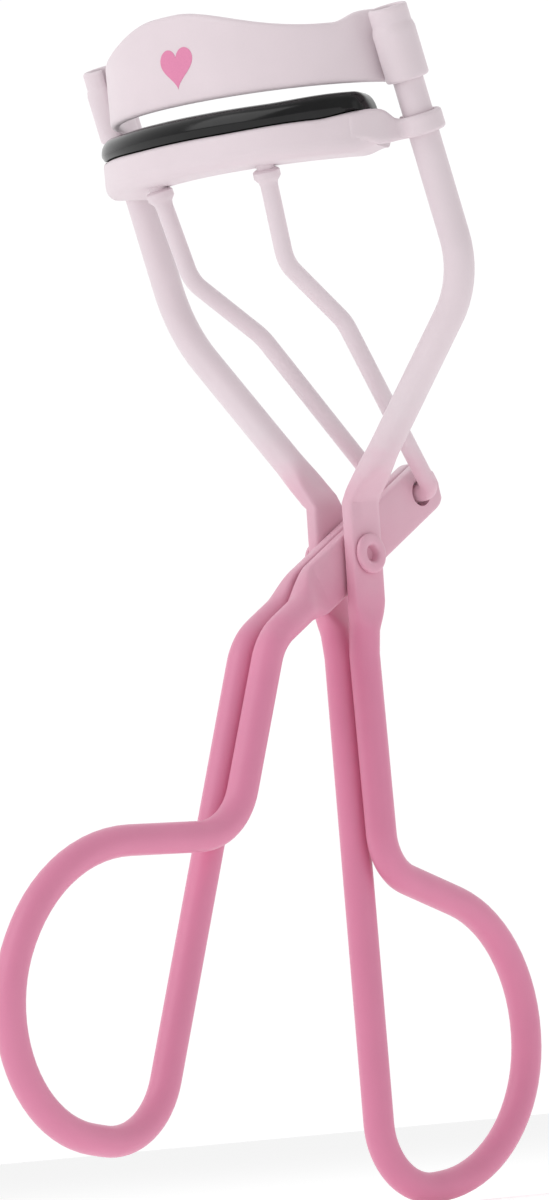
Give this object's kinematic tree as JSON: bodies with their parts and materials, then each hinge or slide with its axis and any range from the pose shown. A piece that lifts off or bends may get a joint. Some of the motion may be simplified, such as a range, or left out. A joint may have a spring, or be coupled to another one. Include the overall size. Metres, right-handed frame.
{
  "type": "eyelash curler",
  "caption": "Hand-held eyelash curler: wire frame and lever on one rivet, each with a finger loop, a push rod, and two curved jaws with a soft pad.",
  "frame": {"origin": "middle of the object's box; the pivot rivet's axis crosses the middle plane at (0, 13.8, 4.5) mm", "axes": "+X along the pivot rivet, from the left jaw end to the right; -Y towards the bulging front of the jaws and the lever's finger loop; +Z from the finger loops up to the jaws"},
  "size_m": [0.037, 0.0646, 0.1006],
  "materials": {
    "coated_frame": "satin soft-touch coating over steel, pale pink at the jaws fading to deep pink at the handle",
    "coated_lever": "satin soft-touch coating over steel, pale pink at the rod's end fading to deep pink at the handle",
    "coated_rod": "satin soft-touch coating over steel, pale pink",
    "coated_rivet": "satin soft-touch coating over steel, pink",
    "coated_jaw": "satin soft-touch coating over sheet steel, very pale pink",
    "silicone_pad": "glossy black silicone"
  },
  "bodies": {
    "frame": {"frame_wire": "coated_frame", "pivot_rivet": "coated_rivet", "upper_jaw": "coated_jaw"},
    "lever": {"lever_wire": "coated_lever"},
    "lower_jaw": {"lower_jaw": "coated_jaw", "curling_pad": "silicone_pad", "push_rod": "coated_rod"}
  },
  "joints": [
    {"name": "lever_hinge", "type": "hinge", "parent": "frame", "child": "lever", "pos_m": [0, 0.01387, 0.00453], "axis": [1, 0, 0], "range_deg": [-33, 4.3]},
    {"name": "jaw_slide", "type": "slide", "parent": "frame", "child": "lower_jaw", "axis": [0, -0.2924, 0.9563], "range_m": [-0.00605, 0.0008]}
  ],
  "couplings": [
    {"joint": "jaw_slide", "follows": "lever_hinge", "m_per_rad": 0.01034}
  ]
}
